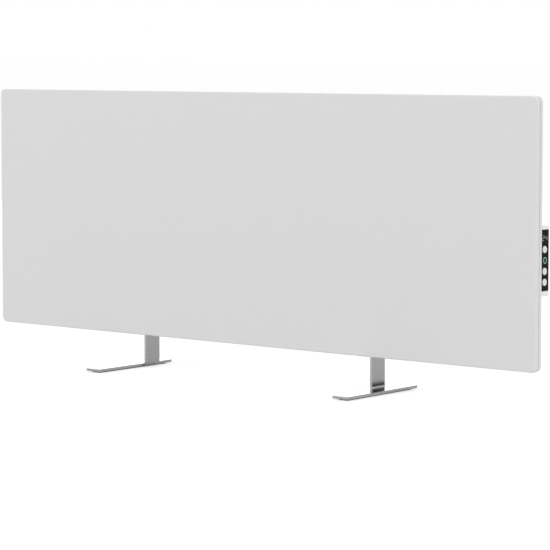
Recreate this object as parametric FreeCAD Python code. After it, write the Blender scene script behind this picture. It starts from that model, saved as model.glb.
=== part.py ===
"""Free-standing panel heater with chromed feet and an end-mounted control box.

Millimetres, +Z up. The origin is on the floor midway between the feet, the
front of the heater faces -Y and the control box is at the +X end.
"""
import FreeCAD
import Part
import math
import os

Vec = FreeCAD.Vector
AXIS_X = Vec(1, 0, 0)
AXIS_Y = Vec(0, 1, 0)
AXIS_Z = Vec(0, 0, 1)

# Panel outline
panel_width = 1000.0
panel_height = 365.0
panel_lift = 52.0
panel_corner_radius = 8.0
panel_least_corner_radius = 1.0
front_set_forward = 4.7

# Front panel, a folded steel pan
front_sheet = 1.2
front_rim_depth = 6.4
front_edge_round = 2.0

# Seal in the seam between the two pans
seam_width = 1.2
seal_inset = 2.2
seal_width = 5.2

# Rear shell, the second pan
shell_sheet = 1.0
shell_depth = 6.4
shell_inset = 0.3
shell_edge_round = 1.5
shell_flange_width = 7.0

# Screws and spacers that hold the pans together
shell_screws_per_row = 6
shell_screw_corner_distance = 62.0
spacer_diameter = 7.0
shell_screw_diameter = 2.9
shell_screw_head_diameter = 5.8
shell_screw_head_height = 1.7
shell_screw_grip_past_flange = 0.8

# Heating layers
foil_thickness = 0.6
foil_edge_gap = 2.0
bus_thickness = 0.3
bus_width = 12.0
bus_edge_distance = 6.0
reflector_thickness = 0.4
terminal_width = 10.0
terminal_height = 7.0
terminal_depth = 4.0
terminal_pitch = 11.0
cutout_diameter = 15.0
cutout_depth = 6.0
cutout_cap_diameter = 12.0
cutout_flange_depth = 2.7
cutout_from_centre = 300.0
cutout_below_top = 62.0
pocket_gap = 2.0

# Threaded inserts in the rear shell
insert_bore_diameter = 4.2
insert_body_diameter = 6.4
insert_collar_diameter = 9.0
insert_collar_depth = 1.6
insert_length = 6.0
wall_pattern_width = 600.0
wall_pattern_height = 200.0

# Feet, each one bent from a single plate
foot_plate = 4.0
foot_length = 159.0
foot_width = 28.6
foot_centre = 232.3
foot_corner_radius = 1.5
foot_edge_round = 0.6
foot_bend_radius = 2.6
tab_depth = 30.0
tab_behind_panel = 5.3
tab_above_screw = 21.0
tab_corner_radius = 4.0
pad_thickness = 2.0
pad_inset = 6.0
pad_corner_radius = 3.0

# Angle brackets behind the panel that carry the feet
bracket_plate = 2.5
bracket_bend_radius = 1.5
bracket_corner_radius = 5.0
bracket_height = 110.0
bracket_above_panel_edge = 14.0
bracket_flange_width = 38.0
bracket_screw_spacing_x = 18.0
bracket_screw_spacing_z = 86.0
bracket_screw_diameter = 4.0
bracket_screw_head_diameter = 7.6
bracket_screw_head_height = 2.8
bracket_screw_length = 8.0
foot_screw_diameter = 5.0
foot_screw_head_diameter = 9.5
foot_screw_head_height = 3.0
foot_screw_spacing = 56.0
foot_screw_past_nut = 1.5
foot_nut_flats = 8.0
foot_nut_height = 4.0

# Control box
control_inset = 4.0
control_width = 84.0
control_depth = 22.4
control_height = 94.0
control_rise = 147.7
control_chin = 1.4
control_wall = 2.0
control_edge_round = 1.5
fascia_wall = 3.5
fascia_thickness = 2.0
fascia_height = 81.4
fascia_width = 19.4
fascia_corner_radius = 1.2
window_height = 72.0
window_width = 16.4
vent_count = 7
vent_width = 2.4
vent_length = 26.0
vent_pitch = 6.0

# Buttons and what they press
button_diameter = 9.5
button_pitch = 14.5
button_proud = 1.0
button_edge_round = 0.35
button_travel = 0.7
button_flange_diameter = 12.0
button_flange_thickness = 1.5
button_stem_diameter = 4.0
button_stem_length = 3.2
ring_outer_diameter = 8.6
ring_inner_diameter = 6.8
ring_depth = 0.8
plunger_diameter = 3.0
switch_size = 6.2
switch_height = 3.0

# Boards and components
board_thickness = 1.6
display_board_height = 83.0
display_board_width = 17.0
display_height = 12.6
display_width = 15.0
display_post_width = 8.0
display_post_height = 5.0
base_plate = 2.0
base_boss_diameter = 7.0
base_boss_inset = 7.5
base_boss_right_inset = 22.0
power_board_width = 60.0
power_board_height = 68.0
power_board_stand_off = 3.0
power_board_left_margin = 6.0
power_board_post_diameter = 6.0
power_board_post_inset = 4.5
component_gap = 2.0
relay_size = (19.0, 12.2, 15.5)
transformer_size = (20.0, 12.4, 17.0)
terminal_block_size = (18.0, 10.4, 20.0)
radio_size = (18.0, 2.8, 20.0)
tip_switch_size = (10.0, 11.0, 11.0)
header_width = 16.0
header_depth = 2.6
header_overlap = 4.0
capacitor_diameter = 10.0
capacitor_height = 12.0
sensor_diameter = 3.2
sensor_height = 5.0
sensor_below_middle = 17.0
box_screw_diameter = 2.9
box_screw_head_diameter = 5.6
box_screw_head_height = 1.8
cover_screw_length = 12.0
base_screw_length = 5.0
base_screw_spacing_x = 30.0
base_screw_spacing_z = 70.0
board_screw_diameter = 2.0
board_screw_head_diameter = 4.0
board_screw_head_height = 1.4
board_screw_length = 4.0

# Leads, their grommet and the cable gland
lead_diameter = 2.6
lead_bend_radius = 5.0
lead_slot_from_right = 48.0
lead_height_over_board = 4.4
grommet_slot_width = 10.0
grommet_slot_height = 22.0
grommet_bore_width = 4.2
grommet_lip = 2.0
grommet_lip_thickness = 1.0
gland_from_left = 28.0
gland_bore_diameter = 7.0
gland_thread_diameter = 12.0
gland_collar_flats = 16.0
gland_collar_height = 4.0
gland_shoulder_diameter = 14.0
gland_nose_diameter = 11.0
gland_nose_length = 9.0
gland_nut_diameter = 17.0
gland_nut_height = 3.0
gland_thread_past_nut = 1.0

# Share of a screw head that its crown and its upright side take
head_crown_share = 0.72
head_side_share = 0.45

# Clearances
fit_gap = 0.3
screw_gap = 0.25
thread_gap = 0.1

# Limits for telling edges apart and for full round slot ends
touch = 1e-6
sharp_turn = 20.0
slot_end_flat = 0.01

# Positions that follow from the sizes above
front_y = -front_set_forward
flange_back_y = front_y + front_rim_depth
shell_front_y = flange_back_y + seam_width
rear_y = shell_front_y + shell_depth
shell_inner_y = rear_y - shell_sheet
panel_half_width = panel_width / 2
panel_bottom = panel_lift
panel_top = panel_lift + panel_height
panel_middle = (panel_bottom + panel_top) / 2
spacer_inset = shell_inset + shell_flange_width + fit_gap + spacer_diameter / 2
front_flange_width = spacer_inset + spacer_diameter / 2 + fit_gap
foil_inset = front_flange_width + foil_edge_gap
foil_y = front_y + front_sheet
bus_y = foil_y + foil_thickness
reflector_y = bus_y + bus_thickness
mat_y = reflector_y + reflector_thickness
base_top = pad_thickness + foot_plate
foot_inner_edge = foot_centre - foot_width / 2
tab_outer_x = foot_inner_edge - foot_bend_radius
tab_inner_x = tab_outer_x - foot_plate
tab_front_y = rear_y + tab_behind_panel
tab_back_y = tab_front_y + tab_depth
bracket_bottom = panel_bottom + bracket_above_panel_edge
bracket_inner_x = tab_inner_x - bracket_plate
bracket_middle = bracket_bottom + bracket_height / 2
tab_top_height = bracket_middle + foot_screw_spacing / 2 + tab_above_screw
box_right = panel_half_width - control_inset
box_left = box_right - control_width
box_back = rear_y + control_depth
box_middle_y = (rear_y + box_back) / 2
box_middle = panel_bottom + control_rise
box_top = box_middle + (control_height - control_chin) / 2
box_bottom = box_top - control_height
fascia_back_x = box_right - fascia_thickness
wall_inner_x = box_right - fascia_wall
flange_front_x = fascia_back_x - fit_gap
stem_end_x = flange_front_x - button_flange_thickness - button_stem_length
board_face_x = stem_end_x - switch_height - button_travel - fit_gap
board_back_x = board_face_x - board_thickness
base_face_y = rear_y + base_plate
power_board_y = base_face_y + power_board_stand_off
component_y = power_board_y + board_thickness
power_board_left = box_left + power_board_left_margin
power_board_right = power_board_left + power_board_width
power_board_bottom = box_middle - power_board_height / 2
power_board_top = box_middle + power_board_height / 2
lead_x = box_right - lead_slot_from_right
lead_y = component_y + lead_height_over_board
terminal_x = panel_half_width - foil_inset - bus_edge_distance - bus_width / 2
gland_x = box_left + gland_from_left


def block(x0, x1, y0, y1, z0, z1):
    """Box between two corners."""
    return Part.makeBox(x1 - x0, y1 - y0, z1 - z0, Vec(x0, y0, z0))


def rounded_outline(half_a, half_b, radius):
    """Closed outline of a rectangle with round corners in the XY plane."""
    edges = []
    turns = ((1, 1, 0), (-1, 1, 90), (-1, -1, 180), (1, -1, 270))
    previous_end = None
    first_start = None
    for sign_a, sign_b, angle in turns:
        centre = Vec(sign_a * (half_a - radius), sign_b * (half_b - radius), 0)
        arc = Part.makeCircle(radius, centre, AXIS_Z, angle, angle + 90)
        start = arc.Vertexes[0].Point
        if previous_end is None:
            first_start = start
        else:
            edges.append(Part.makeLine(previous_end, start))
        edges.append(arc)
        previous_end = arc.Vertexes[1].Point
    edges.append(Part.makeLine(previous_end, first_start))
    return Part.Wire(edges)


def plate_z(half_x, half_y, radius, z0, z1, x=0.0, y=0.0):
    """Horizontal plate with round corners."""
    plate = Part.Face(rounded_outline(half_x, half_y, radius)).extrude(Vec(0, 0, z1 - z0))
    plate.translate(Vec(x, y, z0))
    return plate


def plate_y(half_x, half_z, radius, y0, y1, x=0.0, z=0.0):
    """Upright plate with round corners, its faces towards the front and back."""
    plate = plate_z(half_x, half_z, radius, 0.0, y1 - y0)
    plate.rotate(Vec(0, 0, 0), AXIS_X, 90)
    plate.translate(Vec(x, y1, z))
    return plate


def plate_x(half_y, half_z, radius, x0, x1, y=0.0, z=0.0):
    """Upright plate with round corners, its faces towards the two ends."""
    plate = plate_z(half_z, half_y, radius, 0.0, x1 - x0)
    plate.rotate(Vec(0, 0, 0), AXIS_Y, 90)
    plate.translate(Vec(x0, y, z))
    return plate


def rod(diameter, start, axis, length):
    """Cylinder from a start point along an axis."""
    return Part.makeCylinder(diameter / 2, length, start, axis)


def revolved(profile, place, axis):
    """Solid of revolution from (radius, distance along the axis) points."""
    points = [Vec(radius, 0, along) for radius, along in profile]
    face = Part.Face(Part.makePolygon(points + points[:1]))
    solid = face.revolve(Vec(0, 0, 0), AXIS_Z, 360)
    solid.Placement = FreeCAD.Placement(place, FreeCAD.Rotation(AXIS_Z, axis))
    return solid


def hexagon(flats, start, axis, length):
    """Hexagonal prism from a start point along an axis."""
    corner = flats / math.sqrt(3)
    turns = [math.radians(60 * index) for index in range(7)]
    outline = [Vec(corner * math.cos(turn), corner * math.sin(turn), 0) for turn in turns]
    prism = Part.Face(Part.makePolygon(outline)).extrude(AXIS_Z * length)
    prism.Placement = FreeCAD.Placement(start, FreeCAD.Rotation(AXIS_Z, axis))
    return prism


def screw(head_place, axis, diameter, length, head_diameter, head_height):
    """Pan-head screw whose head seats at head_place and whose shank runs along axis."""
    crown = head_diameter / 2 * head_crown_share
    profile = [(0, length), (diameter / 2, length), (diameter / 2, 0), (head_diameter / 2, 0),
               (head_diameter / 2, -head_height * head_side_share), (crown, -head_height), (0, -head_height)]
    return revolved(profile, head_place, axis)


def insert(place):
    """Threaded insert set into the rear shell from behind, its mouth at place."""
    bore = insert_bore_diameter / 2
    body = insert_body_diameter / 2
    collar = insert_collar_diameter / 2
    profile = [(bore, 0), (body, 0), (body, shell_sheet), (collar, shell_sheet),
               (collar, shell_sheet + insert_collar_depth), (body, shell_sheet + insert_collar_depth),
               (body, insert_length), (bore, insert_length)]
    return revolved(profile, place, Vec(0, -1, 0))


def panel_slab(inset, y0, y1):
    """Slab with the panel's outline drawn in by inset."""
    radius = max(panel_corner_radius - inset, panel_least_corner_radius)
    return plate_y(panel_width / 2 - inset, panel_height / 2 - inset, radius, y0, y1, z=panel_middle)


def rounded_rim(slab, y, radius):
    """Slab with the outline edges of its face at y rounded."""
    edges = [edge for edge in slab.Edges
             if abs(edge.BoundBox.YMin - y) < touch and abs(edge.BoundBox.YMax - y) < touch]
    return slab.makeFillet(radius, edges)


def both_sides(points):
    """Points given for the right side, with their mirror images on the left."""
    return [Vec(side * point.x, point.y, point.z) for side in (1, -1) for point in points]


def shell_screw_points():
    """Places of the screws round the rear shell, on its outer face."""
    reach = panel_half_width - shell_screw_corner_distance
    pitch = 2 * reach / (shell_screws_per_row - 1)
    heights = (panel_bottom + spacer_inset, panel_top - spacer_inset)
    return [Vec(-reach + pitch * index, rear_y, height)
            for height in heights for index in range(shell_screws_per_row)]


def wall_insert_points():
    """Places of the inserts that a wall rail is bolted to."""
    half_height = wall_pattern_height / 2
    heights = (panel_middle - half_height, panel_middle + half_height)
    return both_sides([Vec(wall_pattern_width / 2, rear_y, height) for height in heights])


def bracket_insert_points():
    """Places of the inserts that hold the foot brackets."""
    middle_x = tab_inner_x - bracket_flange_width / 2 - bracket_plate
    half_x = bracket_screw_spacing_x / 2
    half_z = bracket_screw_spacing_z / 2
    right = [Vec(middle_x + dx, rear_y, bracket_middle + dz)
             for dx in (-half_x, half_x) for dz in (-half_z, half_z)]
    return both_sides(right)


def base_screw_points():
    """Places of the screws that hold the control box to the rear shell."""
    middle_x = (power_board_left + power_board_right) / 2
    half_x = base_screw_spacing_x / 2
    half_z = base_screw_spacing_z / 2
    return [Vec(middle_x + dx, base_face_y, box_middle + dz)
            for dx in (-half_x, half_x) for dz in (-half_z, half_z)]


def cover_screw_points():
    """Places of the screws that hold the control cover, on its rear face."""
    columns = (box_left + base_boss_inset, box_right - base_boss_right_inset)
    rows = (box_bottom + base_boss_inset, box_top - base_boss_inset)
    return [Vec(x, box_back, z) for x in columns for z in rows]


def board_screw_points():
    """Places of the screws that hold the power board, on its rear face."""
    inset = power_board_post_inset
    columns = (power_board_left + inset, power_board_right - inset)
    rows = (power_board_bottom + inset, power_board_top - inset)
    return [Vec(x, component_y, z) for x in columns for z in rows]


def display_screw_points():
    """Places of the screws that hold the display board, on its inner face."""
    offset = window_height / 2 + display_post_height / 2
    return [Vec(board_back_x, box_middle_y, box_middle + side * offset) for side in (1, -1)]


def lead_slot(width, height, y0, y1):
    """Upright slot with round ends where the heater leads pass."""
    return plate_y(width / 2, height / 2, width / 2 - slot_end_flat, y0, y1, x=lead_x, z=box_middle)


def front_panel():
    """Steel pan with a returned flange, its front edge rounded."""
    pan = rounded_rim(panel_slab(0.0, front_y, flange_back_y), front_y, front_edge_round)
    pan = pan.cut(panel_slab(front_sheet, foil_y, flange_back_y - front_sheet))
    pan = pan.cut(panel_slab(front_flange_width, flange_back_y - front_sheet, flange_back_y))
    tapped = shell_screw_diameter + 2 * thread_gap
    for point in shell_screw_points():
        pan = pan.cut(rod(tapped, Vec(point.x, flange_back_y, point.z), Vec(0, -1, 0), front_sheet))
    return pan


def edge_seal():
    """Seal strip all round, set back in the seam."""
    seal = panel_slab(seal_inset, flange_back_y, shell_front_y)
    return seal.cut(panel_slab(seal_inset + seal_width, flange_back_y, shell_front_y))


def rear_shell():
    """Rear pan with the holes for its screws, inserts and leads."""
    shell = rounded_rim(panel_slab(shell_inset, shell_front_y, rear_y), rear_y, shell_edge_round)
    shell = shell.cut(panel_slab(shell_inset + shell_sheet, shell_front_y + shell_sheet, shell_inner_y))
    shell = shell.cut(panel_slab(shell_inset + shell_flange_width, shell_front_y,
                                 shell_front_y + shell_sheet))
    holes = [(point, shell_screw_diameter + 2 * screw_gap) for point in shell_screw_points()]
    holes += [(point, insert_body_diameter) for point in wall_insert_points() + bracket_insert_points()]
    holes += [(point, box_screw_diameter + 2 * thread_gap) for point in base_screw_points()]
    for point, diameter in holes:
        shell = shell.cut(rod(diameter, Vec(point.x, rear_y, point.z), Vec(0, -1, 0), shell_sheet))
    return shell.cut(lead_slot(grommet_slot_width, grommet_slot_height, shell_inner_y, rear_y))


def shell_spacers():
    """Tube spacers between the two pans."""
    bore = shell_screw_diameter + 2 * screw_gap
    height = shell_inner_y - flange_back_y
    spacers = []
    for point in shell_screw_points():
        foot = Vec(point.x, flange_back_y, point.z)
        spacers.append(rod(spacer_diameter, foot, AXIS_Y, height).cut(rod(bore, foot, AXIS_Y, height)))
    return spacers


def shell_screws():
    """Screws from behind through the spacers into the front pan."""
    length = rear_y - flange_back_y + front_sheet + shell_screw_grip_past_flange
    return [screw(point, Vec(0, -1, 0), shell_screw_diameter, length,
                  shell_screw_head_diameter, shell_screw_head_height) for point in shell_screw_points()]


def terminal_heights():
    """Heights of the two foil terminals, either side of the control box middle."""
    return (box_middle + terminal_pitch / 2, box_middle - terminal_pitch / 2)


def heating_foil():
    """Heating film on the back of the front panel."""
    return panel_slab(foil_inset, foil_y, bus_y)


def bus_strips():
    """Copper strips along the long edges, led to the terminals at the right end."""
    reach = panel_half_width - foil_inset - bus_edge_distance
    edge = foil_inset + bus_edge_distance
    tail_left = reach - bus_width
    upper, lower = terminal_heights()
    half = terminal_height / 2
    top = panel_top - edge
    bottom = panel_bottom + edge
    strip_top = block(-reach, reach, bus_y, reflector_y, top - bus_width, top)
    tail_top = block(tail_left, reach, bus_y, reflector_y, upper - half, top)
    strip_bottom = block(-reach, reach, bus_y, reflector_y, bottom, bottom + bus_width)
    tail_bottom = block(tail_left, reach, bus_y, reflector_y, bottom, lower + half)
    return [strip_top.fuse(tail_top).removeSplitter(), strip_bottom.fuse(tail_bottom).removeSplitter()]


def lead_pocket(y0, y1):
    """Room cut in the layers for the terminals and leads."""
    half = terminal_pitch / 2 + terminal_height / 2 + pocket_gap
    left = lead_x - grommet_slot_width / 2 - grommet_lip - pocket_gap
    right = terminal_x + terminal_width / 2 + pocket_gap
    return block(left, right, y0, y1, box_middle - half, box_middle + half)


def cutout_place():
    """Seat of the thermal cutout on the heating film."""
    return Vec(cutout_from_centre, bus_y, panel_top - cutout_below_top)


def reflector_sheet():
    """Foil reflector in front of the insulation."""
    sheet = panel_slab(foil_inset, reflector_y, mat_y).cut(lead_pocket(reflector_y, mat_y))
    return sheet.cut(rod(cutout_diameter + 2 * pocket_gap, cutout_place(), AXIS_Y, mat_y - bus_y))


def insulation_mat():
    """Insulation that fills the pans, with pockets round what reaches into it."""
    mat = panel_slab(foil_inset, mat_y, shell_inner_y).cut(lead_pocket(mat_y, shell_inner_y))
    grommet_half = grommet_slot_height / 2 + grommet_lip + pocket_gap
    grommet_left = lead_x - grommet_slot_width / 2 - grommet_lip - pocket_gap
    grommet_right = lead_x + grommet_slot_width / 2 + grommet_lip + pocket_gap
    mat = mat.cut(block(grommet_left, grommet_right, shell_inner_y - grommet_lip_thickness - pocket_gap,
                        shell_inner_y, box_middle - grommet_half, box_middle + grommet_half))
    mat = mat.cut(rod(cutout_diameter + 2 * pocket_gap, cutout_place(), AXIS_Y, cutout_depth + pocket_gap))
    insert_reach = max(insert_length, bracket_screw_length - bracket_plate) + pocket_gap / 2
    pockets = [(point, insert_collar_diameter + pocket_gap, insert_reach)
               for point in wall_insert_points() + bracket_insert_points()]
    pockets += [(Vec(point.x, rear_y, point.z), box_screw_diameter + pocket_gap,
                 base_screw_length - base_plate + pocket_gap / 2) for point in base_screw_points()]
    for point, diameter, reach in pockets:
        mat = mat.cut(rod(diameter, point, Vec(0, -1, 0), reach))
    return mat


def foil_terminals():
    """Terminal blocks on the ends of the copper strips."""
    half_x = terminal_width / 2
    half_z = terminal_height / 2
    return [block(terminal_x - half_x, terminal_x + half_x, reflector_y, reflector_y + terminal_depth,
                  height - half_z, height + half_z) for height in terminal_heights()]


def thermal_cutout():
    """Bimetal cutout with a stepped cap, flat on the heating film."""
    flange = cutout_diameter / 2
    cap = cutout_cap_diameter / 2
    profile = [(0, 0), (flange, 0), (flange, cutout_flange_depth), (cap, cutout_flange_depth),
               (cap, cutout_depth), (0, cutout_depth)]
    return revolved(profile, cutout_place(), AXIS_Y)


def heater_leads():
    """Two sleeved leads from the foil terminals into the control box."""
    start_x = terminal_x - terminal_width / 2
    end_x = terminal_block_right()
    start_y = reflector_y + terminal_depth / 2
    bend = lead_bend_radius
    corner = bend * (1 - math.sqrt(0.5))
    leads = []
    for height in terminal_heights():
        first = Part.LineSegment(Vec(start_x, start_y, height), Vec(lead_x + bend, start_y, height))
        turn_in = Part.Arc(Vec(lead_x + bend, start_y, height),
                           Vec(lead_x + corner, start_y + corner, height),
                           Vec(lead_x, start_y + bend, height))
        middle = Part.LineSegment(Vec(lead_x, start_y + bend, height), Vec(lead_x, lead_y - bend, height))
        turn_out = Part.Arc(Vec(lead_x, lead_y - bend, height),
                            Vec(lead_x - corner, lead_y - corner, height),
                            Vec(lead_x - bend, lead_y, height))
        last = Part.LineSegment(Vec(lead_x - bend, lead_y, height), Vec(end_x, lead_y, height))
        path = Part.Wire([part.toShape() for part in (first, turn_in, middle, turn_out, last)])
        section = Part.Wire([Part.makeCircle(lead_diameter / 2, Vec(start_x, start_y, height), AXIS_X)])
        leads.append(path.makePipeShell([section], True, False))
    return leads


def lead_grommet():
    """Rubber grommet with a lip either side of the rear shell and the control base."""
    lip_width = grommet_slot_width + 2 * grommet_lip
    lip_height = grommet_slot_height + 2 * grommet_lip
    front = shell_inner_y - grommet_lip_thickness
    back = base_face_y + grommet_lip_thickness
    body = lead_slot(grommet_slot_width, grommet_slot_height, shell_inner_y, base_face_y)
    body = body.fuse(lead_slot(lip_width, lip_height, front, shell_inner_y))
    body = body.fuse(lead_slot(lip_width, lip_height, base_face_y, back))
    bore_height = terminal_pitch + grommet_bore_width
    return body.cut(lead_slot(grommet_bore_width, bore_height, front, back)).removeSplitter()


def foot_tab():
    """Upright tab of the right foot, with the bend and a root that reaches into the base."""
    outer = foot_bend_radius + foot_plate
    root = foot_inner_edge + 2 * foot_edge_round
    bend_centre = Vec(foot_inner_edge, tab_front_y, base_top + foot_bend_radius)
    diagonal = math.sqrt(0.5)

    def on_bend(radius, share_x, share_z):
        return Vec(bend_centre.x - radius * share_x, tab_front_y, bend_centre.z - radius * share_z)

    corners = [
        on_bend(outer, 0, 1), on_bend(outer, 1, 0),
        Vec(tab_inner_x, tab_front_y, tab_top_height), Vec(tab_outer_x, tab_front_y, tab_top_height),
        on_bend(foot_bend_radius, 1, 0), on_bend(foot_bend_radius, 0, 1),
        Vec(root, tab_front_y, base_top), Vec(root, tab_front_y, pad_thickness),
    ]
    bends = {0: on_bend(outer, diagonal, diagonal), 4: on_bend(foot_bend_radius, diagonal, diagonal)}
    edges = []
    for index, start in enumerate(corners):
        end = corners[(index + 1) % len(corners)]
        if index in bends:
            edges.append(Part.Arc(start, bends[index], end).toShape())
        else:
            edges.append(Part.makeLine(start, end))
    tab = Part.Face(Part.Wire(edges)).extrude(Vec(0, tab_depth, 0))
    top_corners = [edge for edge in tab.Edges
                   if edge.BoundBox.ZMin > tab_top_height - touch and edge.BoundBox.YLength < touch]
    tab = tab.makeFillet(tab_corner_radius, top_corners)
    free_edges = [edge for edge in sharp_edges(tab) if edge.BoundBox.XMax < root - touch
                  or edge.BoundBox.XLength > touch]
    return tab.makeFillet(foot_edge_round, free_edges)


def foot(side):
    """Foot plate with its inner lug bent up into the tab that carries the panel."""
    base = plate_z(foot_width / 2, foot_length / 2, foot_corner_radius, pad_thickness, base_top,
                   x=foot_centre)
    plate = base.makeFillet(foot_edge_round, sharp_edges(base)).fuse(foot_tab()).removeSplitter()
    for place in foot_screw_places():
        plate = plate.cut(rod(foot_screw_diameter + 2 * screw_gap, Vec(tab_inner_x, place.y, place.z),
                              AXIS_X, foot_plate))
    return plate if side > 0 else plate.mirror(Vec(0, 0, 0), AXIS_X)


def sharp_edges(shape):
    """Edges at which the two faces turn by more than sharp_turn degrees."""
    limit = math.cos(math.radians(sharp_turn))
    edges = []
    for edge in shape.Edges:
        faces = shape.ancestorsOfType(edge, Part.Face)
        middle = edge.valueAt((edge.FirstParameter + edge.LastParameter) / 2)
        normals = [face.normalAt(*face.Surface.parameter(middle)) for face in faces]
        if len(normals) == 2 and abs(normals[0].dot(normals[1])) < limit:
            edges.append(edge)
    return edges


def foot_pad(side):
    """Rubber pad under a foot."""
    return plate_z(foot_width / 2 - pad_inset, foot_length / 2 - pad_inset, pad_corner_radius,
                   0.0, pad_thickness, x=side * foot_centre)


def foot_screw_places():
    """Places of the right foot's screws on the tab's outer face."""
    middle_y = (tab_front_y + tab_back_y) / 2
    half = foot_screw_spacing / 2
    return [Vec(tab_outer_x, middle_y, bracket_middle + dz) for dz in (-half, half)]


def foot_bracket(side):
    """Angle bracket: one leg on the rear shell, the other along the foot's tab."""
    outer = bracket_plate + bracket_bend_radius
    left = tab_inner_x - bracket_plate - bracket_flange_width
    leg = block(bracket_inner_x, tab_inner_x, rear_y, tab_back_y,
                bracket_bottom, bracket_bottom + bracket_height)
    flange = block(left, tab_inner_x, rear_y, rear_y + bracket_plate,
                   bracket_bottom, bracket_bottom + bracket_height)
    angle = leg.fuse(flange).removeSplitter()
    heel = [edge for edge in angle.Edges if edge.BoundBox.ZLength > bracket_height - touch]
    outer_heel = [edge for edge in heel if abs(edge.BoundBox.XMin - tab_inner_x) < touch
                  and abs(edge.BoundBox.YMin - rear_y) < touch]
    inner_heel = [edge for edge in heel if abs(edge.BoundBox.XMin - bracket_inner_x) < touch
                  and abs(edge.BoundBox.YMin - rear_y - bracket_plate) < touch]
    angle = angle.makeFillet(outer, outer_heel).fuse(
        bracket_heel_fill(inner_heel[0])).removeSplitter()
    corners = [edge for edge in angle.Edges if edge.BoundBox.ZLength < touch
               and (edge.BoundBox.XMax < left + touch or edge.BoundBox.YMin > tab_back_y - touch)]
    angle = angle.makeFillet(bracket_corner_radius, corners)
    for point in bracket_insert_points():
        if point.x > 0:
            angle = angle.cut(rod(bracket_screw_diameter + 2 * screw_gap, point, AXIS_Y, bracket_plate))
    for place in foot_screw_places():
        angle = angle.cut(rod(foot_screw_diameter + 2 * screw_gap,
                              Vec(bracket_inner_x, place.y, place.z), AXIS_X, bracket_plate))
    return angle if side > 0 else angle.mirror(Vec(0, 0, 0), AXIS_X)


def bracket_heel_fill(edge):
    """Fillet of metal inside the bracket's bend."""
    corner = edge.BoundBox
    size = bracket_bend_radius
    fill = block(corner.XMin - size, corner.XMin, corner.YMin, corner.YMin + size, corner.ZMin, corner.ZMax)
    hollow = rod(2 * size, Vec(corner.XMin - size, corner.YMin + size, corner.ZMin), AXIS_Z,
                 corner.ZMax - corner.ZMin)
    return fill.cut(hollow)


def bracket_screws():
    """Screws through the bracket flanges into the inserts."""
    heads = [Vec(point.x, rear_y + bracket_plate, point.z) for point in bracket_insert_points()]
    return [screw(head, Vec(0, -1, 0), bracket_screw_diameter, bracket_screw_length,
                  bracket_screw_head_diameter, bracket_screw_head_height) for head in heads]


def foot_screws():
    """Screws through the tabs and bracket legs, heads on the outer side."""
    length = foot_plate + bracket_plate + foot_nut_height + foot_screw_past_nut
    return [screw(place, Vec(-math.copysign(1, place.x), 0, 0), foot_screw_diameter, length,
                  foot_screw_head_diameter, foot_screw_head_height)
            for place in both_sides(foot_screw_places())]


def foot_nuts():
    """Hexagon nuts on the inner side of the bracket legs."""
    bore = foot_screw_diameter + 2 * thread_gap
    nuts = []
    for place in both_sides(foot_screw_places()):
        inward = Vec(-math.copysign(1, place.x), 0, 0)
        seat = Vec(math.copysign(bracket_inner_x, place.x), place.y, place.z)
        nut = hexagon(foot_nut_flats, seat, inward, foot_nut_height)
        nuts.append(nut.cut(rod(bore, seat, inward, foot_nut_height)))
    return nuts


def control_base():
    """Base tray of the control box with its screw bosses and board posts."""
    gap = control_wall + fit_gap
    base = block(box_left + gap, wall_inner_x - fit_gap, rear_y, base_face_y, box_bottom + gap, box_top - gap)
    boss_top = box_back - control_wall
    for point in cover_screw_points():
        base = base.fuse(rod(base_boss_diameter, Vec(point.x, rear_y, point.z), AXIS_Y, boss_top - rear_y))
    for point in board_screw_points():
        base = base.fuse(rod(power_board_post_diameter, Vec(point.x, rear_y, point.z), AXIS_Y,
                             power_board_y - rear_y))
    for point in cover_screw_points():
        tapped = box_screw_diameter + 2 * thread_gap
        base = base.cut(rod(tapped, Vec(point.x, boss_top, point.z), Vec(0, -1, 0),
                            cover_screw_length - control_wall + fit_gap))
    for point in board_screw_points():
        tapped = board_screw_diameter + 2 * thread_gap
        base = base.cut(rod(tapped, Vec(point.x, power_board_y, point.z), Vec(0, -1, 0),
                            board_screw_length - board_thickness + fit_gap))
    for point in base_screw_points():
        base = base.cut(rod(box_screw_diameter + 2 * screw_gap, point, Vec(0, -1, 0), base_plate))
    return base.cut(lead_slot(grommet_slot_width, grommet_slot_height, rear_y, base_face_y)).removeSplitter()


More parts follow.
